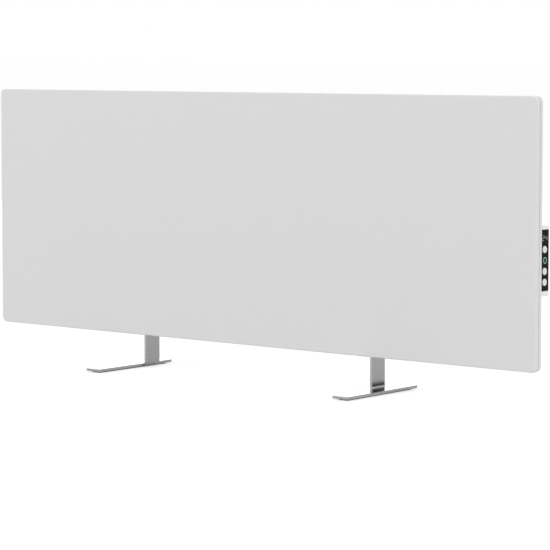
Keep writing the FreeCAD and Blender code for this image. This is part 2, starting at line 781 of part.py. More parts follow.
def control_cover():
    """Moulded cover with the fascia recess at the right end and vents behind."""
    outer = block(box_left, box_right, rear_y, box_back, box_bottom, box_top)
    rounded = [edge for edge in outer.Edges if edge.BoundBox.YMax > rear_y + touch]
    cover = outer.makeFillet(control_edge_round, rounded)
    cover = cover.cut(block(box_left + control_wall, wall_inner_x, rear_y, box_back - control_wall,
                            box_bottom + control_wall, box_top - control_wall))
    cover = cover.cut(plate_x(fascia_width / 2 + fit_gap, fascia_height / 2 + fit_gap, fascia_corner_radius,
                              fascia_back_x, box_right, box_middle_y, box_middle))
    cover = cover.cut(plate_x(window_width / 2, window_height / 2, fascia_corner_radius,
                              wall_inner_x, fascia_back_x, box_middle_y, box_middle))
    for point in display_screw_points():
        post = block(board_face_x, wall_inner_x, point.y - display_post_width / 2,
                     point.y + display_post_width / 2, point.z - display_post_height / 2,
                     point.z + display_post_height / 2)
        tapped = board_screw_diameter + 2 * thread_gap
        post = post.cut(rod(tapped, Vec(board_face_x, point.y, point.z), AXIS_X,
                            board_screw_length - board_thickness + fit_gap))
        cover = cover.fuse(post)
    for point in cover_screw_points():
        cover = cover.cut(rod(box_screw_diameter + 2 * screw_gap, point, Vec(0, -1, 0), control_wall))
    first_vent = (box_left + power_board_right) / 2 - vent_pitch * (vent_count - 1) / 2
    for index in range(vent_count):
        cover = cover.cut(plate_y(vent_width / 2, vent_length / 2, vent_width / 2 - slot_end_flat,
                                  box_back - control_wall, box_back,
                                  x=first_vent + index * vent_pitch, z=box_middle))
    gland_hole = rod(gland_thread_diameter + 2 * screw_gap, Vec(gland_x, box_middle_y, box_bottom),
                     AXIS_Z, control_wall)
    return cover.cut(gland_hole).removeSplitter()


def base_screws():
    """Screws that hold the control base to the rear shell."""
    return [screw(point, Vec(0, -1, 0), box_screw_diameter, base_screw_length, box_screw_head_diameter,
                  box_screw_head_height) for point in base_screw_points()]


def cover_screws():
    """Screws from behind through the control cover into the base bosses."""
    return [screw(point, Vec(0, -1, 0), box_screw_diameter, cover_screw_length, box_screw_head_diameter,
                  box_screw_head_height) for point in cover_screw_points()]


def button_heights():
    """Heights of the four buttons, from the top one down."""
    return {"mode": box_middle + button_pitch, "power": box_middle,
            "plus": box_middle - button_pitch, "minus": box_middle - 2 * button_pitch}


def fascia():
    """Black fascia plate with the four button holes."""
    plate = plate_x(fascia_width / 2, fascia_height / 2, fascia_corner_radius, fascia_back_x, box_right,
                    box_middle_y, box_middle)
    for height in button_heights().values():
        plate = plate.cut(rod(button_diameter + 2 * fit_gap, Vec(fascia_back_x, box_middle_y, height),
                              AXIS_X, fascia_thickness))
    return plate


def button(height, ringed):
    """Button cap, retaining flange and stem, with a groove for a ring if ringed."""
    cap = button_diameter / 2
    flange = button_flange_diameter / 2
    stem = button_stem_diameter / 2
    flange_back = button_stem_length + button_flange_thickness
    face = flange_back + fit_gap + fascia_thickness + button_proud
    profile = [(0, 0), (stem, 0), (stem, button_stem_length), (flange, button_stem_length),
               (flange, flange_back), (cap, flange_back), (cap, face - button_edge_round),
               (cap - button_edge_round, face), (0, face)]
    place = Vec(stem_end_x, box_middle_y, height)
    solid = revolved(profile, place, AXIS_X)
    return solid.cut(power_ring(height)) if ringed else solid


def power_ring(height):
    """Light ring let into the face of the power button."""
    seat = Vec(box_right + button_proud - ring_depth, box_middle_y, height)
    ring = rod(ring_outer_diameter, seat, AXIS_X, ring_depth)
    return ring.cut(rod(ring_inner_diameter, seat, AXIS_X, ring_depth))


def plunger(height):
    """Switch plunger that the button's stem presses."""
    rest_end = board_face_x + button_travel + fit_gap
    return rod(plunger_diameter, Vec(rest_end, box_middle_y, height), AXIS_X, stem_end_x - rest_end)


def tact_switches():
    """Switch housings on the display board, bored for their plungers."""
    half = switch_size / 2
    bodies = []
    for height in button_heights().values():
        body = block(board_face_x, board_face_x + switch_height, box_middle_y - half, box_middle_y + half,
                     height - half, height + half)
        bore = rod(plunger_diameter + 2 * fit_gap, Vec(board_face_x, box_middle_y, height), AXIS_X,
                   switch_height)
        bodies.append(body.cut(bore))
    return bodies


def display_board():
    """Board behind the fascia, screwed to the cover's posts."""
    half_y = display_board_width / 2
    half_z = display_board_height / 2
    board = block(board_back_x, board_face_x, box_middle_y - half_y, box_middle_y + half_y,
                  box_middle - half_z, box_middle + half_z)
    for point in display_screw_points():
        board = board.cut(rod(board_screw_diameter + 2 * screw_gap, point, AXIS_X, board_thickness))
    return board


def display_module():
    """Two-digit display block between the board and the fascia."""
    middle = box_middle + 2 * button_pitch
    return block(board_face_x, fascia_back_x - fit_gap, box_middle_y - display_width / 2,
                 box_middle_y + display_width / 2, middle - display_height / 2, middle + display_height / 2)


def power_board():
    """Main board on the base posts, with a slot for the leads."""
    board = block(power_board_left, power_board_right, power_board_y, component_y,
                  power_board_bottom, power_board_top)
    for point in board_screw_points():
        board = board.cut(rod(board_screw_diameter + 2 * screw_gap, point, Vec(0, -1, 0), board_thickness))
    lip = grommet_slot_height + 2 * grommet_lip
    return board.cut(lead_slot(grommet_slot_width, lip, power_board_y, component_y))


def on_board(size, left, middle_z):
    """Component box standing on the power board."""
    return block(left, left + size[0], component_y, component_y + size[1],
                 middle_z - size[2] / 2, middle_z + size[2] / 2)


def terminal_block_right():
    """Right face of the terminal block, clear of the lead slot."""
    return lead_x - grommet_slot_width / 2 - component_gap


def component_left():
    """Left edge of the components, clear of the board's screws."""
    return power_board_left + power_board_post_inset + board_screw_head_diameter / 2 + component_gap


def terminal_block():
    """Terminal block beside the lead slot."""
    return on_board(terminal_block_size, terminal_block_right() - terminal_block_size[0], box_middle)


def relay():
    """Heater relay below the terminal block."""
    below = box_middle - terminal_block_size[2] / 2 - component_gap - relay_size[2] / 2
    return on_board(relay_size, component_left(), below)


def transformer():
    """Power supply transformer beside the relay."""
    below = box_middle - (grommet_slot_height / 2 + grommet_lip + component_gap) - transformer_size[2] / 2
    return on_board(transformer_size, component_left() + relay_size[0] + component_gap, below)


def capacitor():
    """Supply capacitor above the terminal block."""
    above = box_middle + terminal_block_size[2] / 2 + component_gap + capacitor_diameter / 2
    middle_x = component_left() + capacitor_diameter / 2
    return rod(capacitor_diameter, Vec(middle_x, component_y, above), AXIS_Y, capacitor_height)


def radio_module():
    """Radio module for remote control, above the lead slot."""
    above = box_middle + grommet_slot_height / 2 + grommet_lip + component_gap + radio_size[2] / 2
    return on_board(radio_size, component_left() + capacitor_diameter + component_gap, above)


def tip_over_switch():
    """Switch that cuts the heat when the panel falls over."""
    above = box_middle + grommet_slot_height / 2 + grommet_lip + component_gap + tip_switch_size[2] / 2
    left = component_left() + capacitor_diameter + radio_size[0] + 2 * component_gap
    return on_board(tip_switch_size, left, above)


def room_sensor():
    """Room temperature bead near the lower vents of the board."""
    left = component_left() + relay_size[0] + transformer_size[0] + 2 * component_gap + sensor_diameter / 2
    return rod(sensor_diameter, Vec(left, component_y, box_middle - sensor_below_middle), AXIS_Y,
               sensor_height)


def link_header():
    """Right-angle header that joins the two boards."""
    return block(power_board_right - header_overlap, board_back_x, component_y, component_y + header_depth,
                 box_middle - header_width / 2, box_middle + header_width / 2)


def board_screws():
    """Small screws of both boards."""
    power = [screw(point, Vec(0, -1, 0), board_screw_diameter, board_screw_length,
                   board_screw_head_diameter, board_screw_head_height) for point in board_screw_points()]
    display = [screw(point, AXIS_X, board_screw_diameter, board_screw_length,
                     board_screw_head_diameter, board_screw_head_height) for point in display_screw_points()]
    return power + display


def cable_gland():
    """Gland for the supply cable under the control box, bored through."""
    bore = gland_bore_diameter / 2
    thread = gland_thread_diameter / 2
    shoulder = gland_shoulder_diameter / 2
    nose = gland_nose_diameter / 2
    inside = control_wall + gland_nut_height + gland_thread_past_nut
    waist = -gland_collar_height
    tip = waist - gland_nose_length
    seat = Vec(gland_x, box_middle_y, box_bottom)
    profile = [(bore, inside), (thread, inside), (thread, waist), (shoulder, waist), (nose, tip), (bore, tip)]
    collar = hexagon(gland_collar_flats, seat, -AXIS_Z, gland_collar_height)
    collar = collar.cut(rod(gland_bore_diameter, seat, -AXIS_Z, gland_collar_height))
    return revolved(profile, seat, AXIS_Z).fuse(collar).removeSplitter()


def gland_nut():
    """Ring nut that holds the gland from inside."""
    seat = Vec(gland_x, box_middle_y, box_bottom + control_wall)
    nut = rod(gland_nut_diameter, seat, AXIS_Z, gland_nut_height)
    return nut.cut(rod(gland_thread_diameter + 2 * thread_gap, seat, AXIS_Z, gland_nut_height))


def build():
    """Every node of the heater by name, each a solid or a list of solids."""
    nodes = {
        "front_panel": front_panel(),
        "edge_seal": edge_seal(),
        "rear_shell": rear_shell(),
        "shell_spacers": shell_spacers(),
        "shell_screws": shell_screws(),
        "heating_foil": heating_foil(),
        "bus_strips": bus_strips(),
        "reflector_sheet": reflector_sheet(),
        "insulation_mat": insulation_mat(),
        "foil_terminals": foil_terminals(),
        "thermal_cutout": thermal_cutout(),
        "heater_leads": heater_leads(),
        "lead_grommet": lead_grommet(),
        "wall_inserts": [insert(point) for point in wall_insert_points()],
        "bracket_inserts": [insert(point) for point in bracket_insert_points()],
        "bracket_screws": bracket_screws(),
        "foot_screws": foot_screws(),
        "foot_nuts": foot_nuts(),
        "control_base": control_base(),
        "control_cover": control_cover(),
        "base_screws": base_screws(),
        "cover_screws": cover_screws(),
        "fascia": fascia(),
        "display_module": display_module(),
        "display_board": display_board(),
        "tact_switches": tact_switches(),
        "power_board": power_board(),
        "terminal_block": terminal_block(),
        "relay": relay(),
        "transformer": transformer(),
        "capacitor": capacitor(),
        "radio_module": radio_module(),
        "tip_over_switch": tip_over_switch(),
        "room_sensor": room_sensor(),
        "link_header": link_header(),
        "board_screws": board_screws(),
        "cable_gland": cable_gland(),
        "gland_nut": gland_nut(),
    }
    for name, side in (("left", -1), ("right", 1)):
        nodes["foot_" + name] = foot(side)
        nodes["foot_pad_" + name] = foot_pad(side)
        nodes["foot_bracket_" + name] = foot_bracket(side)
    for name, height in button_heights().items():
        nodes[name + "_button"] = button(height, ringed=name == "power")
        nodes[name + "_plunger"] = plunger(height)
    nodes["power_ring"] = power_ring(button_heights()["power"])
    return nodes


os.makedirs("parts", exist_ok=True)
for node_name, shape in build().items():
    if isinstance(shape, list):
        shape = Part.makeCompound(shape)
    shape.exportStep("parts/" + node_name + ".step")
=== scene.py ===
"""Dressed scene of a free-standing panel heater: white coated pans, chromed feet, end control box."""
import logging
import math
from dataclasses import dataclass, field
from enum import Enum

import bmesh
import bpy
from mathutils import Matrix, Vector


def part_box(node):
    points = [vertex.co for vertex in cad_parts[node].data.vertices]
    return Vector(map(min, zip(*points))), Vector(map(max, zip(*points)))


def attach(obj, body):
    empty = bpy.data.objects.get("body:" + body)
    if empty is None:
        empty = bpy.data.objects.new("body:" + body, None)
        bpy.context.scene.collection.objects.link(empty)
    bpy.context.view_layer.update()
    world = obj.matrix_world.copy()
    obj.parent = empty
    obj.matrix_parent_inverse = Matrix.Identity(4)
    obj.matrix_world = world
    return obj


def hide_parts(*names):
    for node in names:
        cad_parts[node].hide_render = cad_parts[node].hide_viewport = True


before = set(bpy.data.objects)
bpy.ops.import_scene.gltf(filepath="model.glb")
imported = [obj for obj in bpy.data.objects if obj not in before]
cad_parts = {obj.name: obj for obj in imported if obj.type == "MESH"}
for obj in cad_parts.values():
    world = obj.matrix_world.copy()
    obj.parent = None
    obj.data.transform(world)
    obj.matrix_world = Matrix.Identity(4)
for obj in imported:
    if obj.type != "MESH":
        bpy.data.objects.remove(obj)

Pair = tuple[float, float]
Triple = tuple[float, float, float]

LOG = logging.getLogger("panel_heater")
IMAGE_PIXELS = 550
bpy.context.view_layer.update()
ROOT_BODY = "heater"
SIDES = ("left", "right")

# Lengths in metres.
MM = 0.001
MERGE_GAP = 1e-6
SPIN_MERGE_GAP = 1e-7

# Angles between faces: counted as flat, shaded as a sharp edge, given a rounding.
FLAT_ANGLE = math.radians(0.5)
SHARP_ANGLE = math.radians(35.0)
ROUNDED_ANGLE = math.radians(40.0)

# Fineness of the meshes, and decimals of a metre by which they are sorted.
SPIN_STEPS = 48
ROUND_STEPS = 5
EDGE_SEGMENTS = 3
ORDER_DIGITS = 7

# Directions, and the stretch of a pattern that is the same along every axis.
TO_RIGHT = (1.0, 0.0, 0.0)
TO_BACK = (0.0, 1.0, 0.0)
EVEN = (1.0, 1.0, 1.0)

# What every finish shares. Scales are in cycles per metre.
PRINCIPLED = "Principled BSDF"
COAT_ROUGHNESS = 0.05
LEAST_ROUGHNESS = 0.02
TINT_SCALE = 9.0
TINT_OCTAVES = 3.0

# Shares that shape the screws' cross recess and the dish in the white caps.
CROSS_ARM_SHARE = 0.28
DISH_SHARES = (0.8, 0.6, 0.4, 0.2, 0.0)


class Grain(Enum):
    """Surface grain that a finish shows close up: octaves of its noise, and its stretch along each axis.

    The crumpled grain is made of cells and has no octaves.
    """

    ORANGE_PEEL = (1.0, EVEN)
    FINE = (4.0, EVEN)
    BRUSHED = (3.0, (0.04, 1.0, 1.0))
    FIBRE = (8.0, (1.0, 0.3, 0.25))
    CRUMPLED = (0.0, EVEN)


class Drive(Enum):
    """Shape of the recess in a screw's head."""

    HEX = "hex"
    CROSS = "cross"

    def reach(self, angle: float, size: float) -> float:
        """Distance from the screw's axis to the outline of the recess.

        Args:
            angle: Direction round the axis, in radians.
            size: Distance to the outline's farthest points.

        Returns:
            The distance in that direction.
        """
        if self is Drive.HEX:
            from_flat = math.remainder(angle - math.pi / 6, math.pi / 3)
            return size * math.cos(math.pi / 6) / math.cos(from_flat)
        from_arm = abs(math.remainder(angle, math.pi / 2))
        half_arm = CROSS_ARM_SHARE * size
        return min(size / math.cos(from_arm), half_arm / max(math.sin(from_arm), half_arm / size))


class Segment(Enum):
    """Bar of a seven-segment digit: its middle, as shares of width and height, and whether it is upright."""

    TOP = (0.0, 0.5, False)
    UPPER_RIGHT = (0.5, 0.25, True)
    LOWER_RIGHT = (0.5, -0.25, True)
    BOTTOM = (0.0, -0.5, False)
    LOWER_LEFT = (-0.5, -0.25, True)
    UPPER_LEFT = (-0.5, 0.25, True)
    MIDDLE = (0.0, 0.0, False)


def grey(level: float) -> tuple[float, float, float, float]:
    """Opaque grey of a level, where 1 is white."""
    return (level, level, level, 1.0)


def new_material(name: str) -> bpy.types.Material:
    """Start a node material.

    Args:
        name: The material's name.

    Returns:
        The material, with a principled shader as Blender sets it.
    """
    material = bpy.data.materials.new(name)
    material.use_nodes = True
    return material


def object_coordinates(tree: bpy.types.NodeTree, stretch: Triple) -> bpy.types.NodeSocket:
    """Object coordinates, stretched along each axis.

    Args:
        tree: The node tree that takes them.
        stretch: Factor on each axis.

    Returns:
        The vector output.
    """
    source = tree.nodes.new("ShaderNodeTexCoord")
    mapping = tree.nodes.new("ShaderNodeMapping")
    mapping.inputs["Scale"].default_value = stretch
    tree.links.new(source.outputs["Object"], mapping.inputs["Vector"])
    return mapping.outputs["Vector"]


def noise_factor(tree: bpy.types.NodeTree, scale: float, octaves: float,
                 stretch: Triple) -> bpy.types.NodeSocket:
    """Noise on Object coordinates.

    Args:
        tree: The node tree that takes it.
        scale: Cycles per metre.
        octaves: Octaves of the noise.
        stretch: Factor on each axis.

    Returns:
        The factor output.
    """
    noise = tree.nodes.new("ShaderNodeTexNoise")
    noise.inputs["Scale"].default_value = scale
    noise.inputs["Detail"].default_value = octaves
    tree.links.new(object_coordinates(tree, stretch), noise.inputs["Vector"])
    return noise.outputs["Fac"]


@dataclass(frozen=True)
class Finish:
    """A surface finish: its colour, gloss and grain.

    Scales are in cycles per metre, bump_height is in metres.
    """

    name: str
    colour: Triple
    roughness: float
    grain: Grain = Grain.FINE
    grain_scale: float = 900.0
    bump_height: float = 0.00002
    bump_strength: float = 0.15
    tint_spread: float = 0.03
    roughness_spread: float = 0.06
    metallic: float = 0.0
    coat: float = 0.0
    glow: float = 0.0

    def material(self) -> bpy.types.Material:
        """Build the finish as a node material on Object coordinates.

        Returns:
            The material, made once and shared by every piece that asks for it.
        """
        existing = bpy.data.materials.get(self.name)
        if existing is not None:
            return existing
        material = new_material(self.name)
        tree = material.node_tree
        shader = tree.nodes[PRINCIPLED]
        shader.inputs["Metallic"].default_value = self.metallic
        shader.inputs["Coat Weight"].default_value = self.coat
        shader.inputs["Coat Roughness"].default_value = COAT_ROUGHNESS
        grain = self._grain_height(tree)
        self._tint(tree, shader)
        self._gloss(tree, shader, grain)
        self._bump(tree, shader, grain)
        if self.glow > 0.0:
            shader.inputs["Emission Color"].default_value = (*self.colour, 1.0)
            shader.inputs["Emission Strength"].default_value = self.glow
        return material

    def _grain_height(self, tree: bpy.types.NodeTree) -> bpy.types.NodeSocket:
        """Height pattern of the finish's grain.

        Args:
            tree: The material's node tree.

        Returns:
            The height output, about 0 to 1.
        """
        octaves, stretch = self.grain.value
        if self.grain is not Grain.CRUMPLED:
            return noise_factor(tree, self.grain_scale, octaves, stretch)
        cells = tree.nodes.new("ShaderNodeTexVoronoi")
        cells.inputs["Scale"].default_value = self.grain_scale
        tree.links.new(object_coordinates(tree, stretch), cells.inputs["Vector"])
        return cells.outputs["Distance"]

    def _tint(self, tree: bpy.types.NodeTree, shader: bpy.types.Node) -> None:
        """Vary the colour slowly over the surface.

        Args:
            tree: The material's node tree.
            shader: Its principled shader.
        """
        blend = tree.nodes.new("ShaderNodeMixRGB")
        dark = tuple(channel * (1.0 - self.tint_spread) for channel in self.colour)
        light = tuple(min(1.0, channel * (1.0 + self.tint_spread)) for channel in self.colour)
        blend.inputs["Color1"].default_value = (*dark, 1.0)
        blend.inputs["Color2"].default_value = (*light, 1.0)
        tree.links.new(noise_factor(tree, TINT_SCALE, TINT_OCTAVES, EVEN), blend.inputs["Fac"])
        tree.links.new(blend.outputs["Color"], shader.inputs["Base Color"])

    def _gloss(self, tree: bpy.types.NodeTree, shader: bpy.types.Node, grain: bpy.types.NodeSocket) -> None:
        """Vary the roughness with the grain.

        Args:
            tree: The material's node tree.
            shader: Its principled shader.
            grain: The grain's height output.
        """
        spread = tree.nodes.new("ShaderNodeMapRange")
        spread.inputs["To Min"].default_value = max(LEAST_ROUGHNESS, self.roughness - self.roughness_spread)
        spread.inputs["To Max"].default_value = min(1.0, self.roughness + self.roughness_spread)
        tree.links.new(grain, spread.inputs["Value"])
        tree.links.new(spread.outputs["Result"], shader.inputs["Roughness"])

    def _bump(self, tree: bpy.types.NodeTree, shader: bpy.types.Node, grain: bpy.types.NodeSocket) -> None:
        """Raise the grain as a shallow bump.

        Args:
            tree: The material's node tree.
            shader: Its principled shader.
            grain: The grain's height output.
        """
        bump = tree.nodes.new("ShaderNodeBump")
        bump.inputs["Strength"].default_value = self.bump_strength
        bump.inputs["Distance"].default_value = self.bump_height
        tree.links.new(grain, bump.inputs["Height"])
        tree.links.new(bump.outputs["Normal"], shader.inputs["Normal"])


POWDER_COAT = Finish("white_powder_coat", (0.74, 0.74, 0.74), 0.42, Grain.ORANGE_PEEL, 700.0,
                     bump_height=0.00003, bump_strength=0.12, tint_spread=0.006)
# Seam silicone darkened to near black: painted shade for the shadow in the gap between the pans.
SEAM_PAINTED_SHADE = Finish("seam_silicone_painted_shade", (0.06, 0.06, 0.06), 0.75, grain_scale=1500.0)
CHROME = Finish("chrome_plate", (0.44, 0.44, 0.44), 0.19, Grain.BRUSHED, 1400.0, bump_height=0.000004,
                bump_strength=0.06, tint_spread=0.01, roughness_spread=0.03, metallic=1.0)
ZINC = Finish("zinc_plate", (0.58, 0.58, 0.56), 0.32, grain_scale=2200.0, tint_spread=0.05, metallic=1.0)
# Silicone of the real foot pads, darkened to near black as painted shade along the lower edge of the feet.
PAD_PAINTED_SHADE = Finish("pad_silicone_painted_shade", (0.12, 0.12, 0.12), 0.7, grain_scale=1800.0, bump_strength=0.2)
BLACK_RUBBER = Finish("black_rubber", (0.025, 0.025, 0.026), 0.8, grain_scale=1800.0, bump_strength=0.3)
SATIN_WHITE = Finish("satin_white_moulding", (0.85, 0.85, 0.85), 0.38, grain_scale=1600.0,
                     bump_strength=0.1, tint_spread=0.006)
BLACK_GLOSS = Finish("black_gloss_fascia", (0.016, 0.016, 0.017), 0.12, grain_scale=260.0,
                     bump_strength=0.03, tint_spread=0.1, roughness_spread=0.05, coat=0.2)
CAP_WHITE = Finish("white_button_cap", (0.80, 0.80, 0.80), 0.25, grain_scale=1500.0,
                   bump_strength=0.05, tint_spread=0.006)
# Dark power button cap given a faint glow of its own colour: painted light that lifts its tone.
CAP_DARK_PAINTED_GLOW = Finish("dark_button_cap_painted_glow", (0.035, 0.055, 0.045), 0.18, grain_scale=1500.0,
                  bump_strength=0.05, glow=0.3)
RING_GREEN = Finish("lit_ring_green", (0.26, 0.46, 0.36), 0.35, glow=0.30)
DIGIT_GLOW = Finish("lit_digits", (0.277, 0.311, 0.315), 0.4, glow=0.13)
HEATING_FILM = Finish("heating_film", (0.03, 0.03, 0.035), 0.5, Grain.BRUSHED, 300.0)
COPPER = Finish("bare_copper", (0.72, 0.40, 0.24), 0.3, Grain.BRUSHED, 900.0, metallic=1.0)
FOIL = Finish("reflector_foil", (0.80, 0.80, 0.82), 0.28, Grain.CRUMPLED, 120.0,
              bump_height=0.0002, metallic=1.0)
FIBRE = Finish("insulation_fibre", (0.72, 0.69, 0.62), 0.95, Grain.FIBRE, 420.0,
               bump_height=0.0004, bump_strength=0.6, tint_spread=0.08)
DARK_PLASTIC = Finish("dark_moulding", (0.06, 0.06, 0.065), 0.5, grain_scale=1500.0)
SLEEVE_RED = Finish("lead_sleeve_red", (0.50, 0.06, 0.05), 0.55, Grain.FIBRE, 900.0)
BOARD = Finish("board_green", (0.03, 0.17, 0.08), 0.4, Grain.CRUMPLED, 400.0, tint_spread=0.15)
TAPE = Finish("winding_tape", (0.62, 0.50, 0.10), 0.45, Grain.BRUSHED, 300.0)
GREY_NYLON = Finish("grey_nylon", (0.52, 0.52, 0.52), 0.5, grain_scale=1300.0)


def dress(node: str, finish: Finish) -> None:
    """Give a carried-over node its finish.

    Args:
        node: The node's name.
        finish: The finish for all its faces.
    """
    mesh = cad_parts[node].data
    mesh.materials.clear()
    mesh.materials.append(finish.material())
    LOG.info("dressed %s with %s", node, finish.name)


def dress_all(finishes: dict[str, Finish]) -> None:
    """Give each node of a table its finish.

    Args:
        finishes: The finish of each node, by the node's name.
    """
    for node, finish in finishes.items():
        dress(node, finish)


def sort_key(point: Vector) -> tuple[float, ...]:
    """A point's coordinates, rounded so that they sort alike on every run."""
    return tuple(round(value, ORDER_DIGITS) for value in point)


def settle_order(mesh: bmesh.types.BMesh) -> None:
    """Sort a mesh by place, since spinning leaves its points and faces in a chance order.

    Args:
        mesh: The shape, changed in place.
    """
    verts = sorted(mesh.verts, key=lambda vert: sort_key(vert.co))
    faces = sorted(mesh.faces, key=lambda face: sort_key(face.calc_center_median()))
    for items, ranked in ((mesh.verts, verts), (mesh.faces, faces)):
        ranks = {item: float(rank) for rank, item in enumerate(ranked)}
        items.sort(key=ranks.get)


def add_object(name: str, mesh: bmesh.types.BMesh, material: bpy.types.Material) -> bpy.types.Object:
    """Turn a bmesh into an object of the scene.

    Args:
        name: The object's name.
        mesh: The shape, in place, in metres. It is freed.
        material: The material for all its faces.

    Returns:
        The new object.
    """
    data = bpy.data.meshes.new(name)
    mesh.to_mesh(data)
    mesh.free()
    data.materials.append(material)
    made = bpy.data.objects.new(name, data)
    bpy.context.scene.collection.objects.link(made)
    return made


def add_piece(name: str, mesh: bmesh.types.BMesh, finish: Finish, body: str) -> bpy.types.Object:
    """Turn a bmesh into a finished piece that rides on a body.

    Args:
        name: The piece's name.
        mesh: The shape, in place, in metres. It is freed.
        finish: The finish for all its faces.
        body: The body it moves with.

    Returns:
        The new object.
    """
    settle_order(mesh)
    piece = add_object(name, mesh, finish.material())
    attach(piece, body)
    LOG.info("made %s on %s", name, body)
    return piece


def shade_smooth(piece: bpy.types.Object) -> None:
    """Smooth a piece's shading except at its sharp edges.

    Args:
        piece: The object to shade.
    """
    mesh = bmesh.new()
    mesh.from_mesh(piece.data)
    for face in mesh.faces:
        face.smooth = True
    for edge in mesh.edges:
        edge.smooth = len(edge.link_faces) == 2 and edge.calc_face_angle() < SHARP_ANGLE
    mesh.to_mesh(piece.data)
    mesh.free()


def joined_copy(node: str) -> bmesh.types.BMesh:
    """Copy a node's shape and join its loose triangles.

    Args:
        node: The node's name.

    Returns:
        The copy, in place.
    """
    mesh = bmesh.new()
    mesh.from_mesh(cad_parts[node].data)
    bmesh.ops.remove_doubles(mesh, verts=mesh.verts, dist=MERGE_GAP)
    return mesh


def soften(node: str, finish: Finish, width: float) -> None:
    """Stand a copy with softened edges in for a node.

    Args:
        node: The node that is replaced.
        finish: The finish of the copy.
        width: Width of the rounding, in metres.
    """
    mesh = joined_copy(node)
    bmesh.ops.dissolve_limit(mesh, angle_limit=FLAT_ANGLE, verts=mesh.verts, edges=mesh.edges)
    piece = add_piece(node + "_soft", mesh, finish, ROOT_BODY)
    bevel = piece.modifiers.new("edge_round", "BEVEL")
    bevel.width = width
    bevel.segments = EDGE_SEGMENTS
    bevel.limit_method = "ANGLE"
    bevel.angle_limit = ROUNDED_ANGLE
    shade_smooth(piece)
    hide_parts(node)


def spun(profile: list[Pair]) -> bmesh.types.BMesh:
    """Spin a profile about the Z axis.

    Args:
        profile: Points of (radius, height) in metres. An end off the axis leaves an opening.

    Returns:
        The shape about the origin.
    """
    mesh = bmesh.new()
    points = [mesh.verts.new((radius, 0.0, height)) for radius, height in profile]
    edges = [mesh.edges.new(pair) for pair in zip(points, points[1:])]
    bmesh.ops.spin(mesh, geom=points + edges, cent=(0, 0, 0), axis=(0, 0, 1), angle=math.tau,
                   steps=SPIN_STEPS, use_merge=True)
    bmesh.ops.remove_doubles(mesh, verts=mesh.verts, dist=SPIN_MERGE_GAP)
    bmesh.ops.recalc_face_normals(mesh, faces=mesh.faces)
    return mesh


def quarter_round(start: Pair, end: Pair) -> list[Pair]:
    """Points of a quarter ellipse that leaves start upright and reaches end level.

    Args:
        start: First point as (radius, height).
        end: Last point as (radius, height).

    Returns:
        The points after start, end included.
    """
    turns = [math.pi / 2 * index / ROUND_STEPS for index in range(1, ROUND_STEPS + 1)]
    return [(end[0] + (start[0] - end[0]) * math.cos(turn), start[1] + (end[1] - start[1]) * math.sin(turn))
            for turn in turns]


def loose_boxes(node: str) -> list[tuple[Vector, Vector]]:
    """Boxes of the separate solids in one node.

    Args:
        node: The node's name.

    Returns:
        Low and high corner of each solid, in metres.
    """
    mesh = joined_copy(node)
    unseen = set(mesh.verts)
    boxes = []
    while unseen:
        front = [unseen.pop()]
        points = []
        while front:
            vert = front.pop()
            points.append(vert.co.copy())
            near = {edge.other_vert(vert) for edge in vert.link_edges} & unseen
            unseen -= near
            front.extend(near)
        axes = list(zip(*points))
        boxes.append((Vector([min(axis) for axis in axes]), Vector([max(axis) for axis in axes])))
    mesh.free()
    return boxes


def placed(mesh: bmesh.types.BMesh, point: Vector, direction: Vector) -> bmesh.types.BMesh:
    """Turn a shape's +Z to a direction and move it to a point.

    Args:
        mesh: The shape about the origin, changed in place.
        point: Where its origin goes.
        direction: Where its +Z goes.

    Returns:
        The same shape.
    """
    turn = direction.to_track_quat("Z", "Y").to_matrix().to_4x4()
    bmesh.ops.transform(mesh, matrix=Matrix.Translation(point) @ turn, verts=mesh.verts)
    return mesh


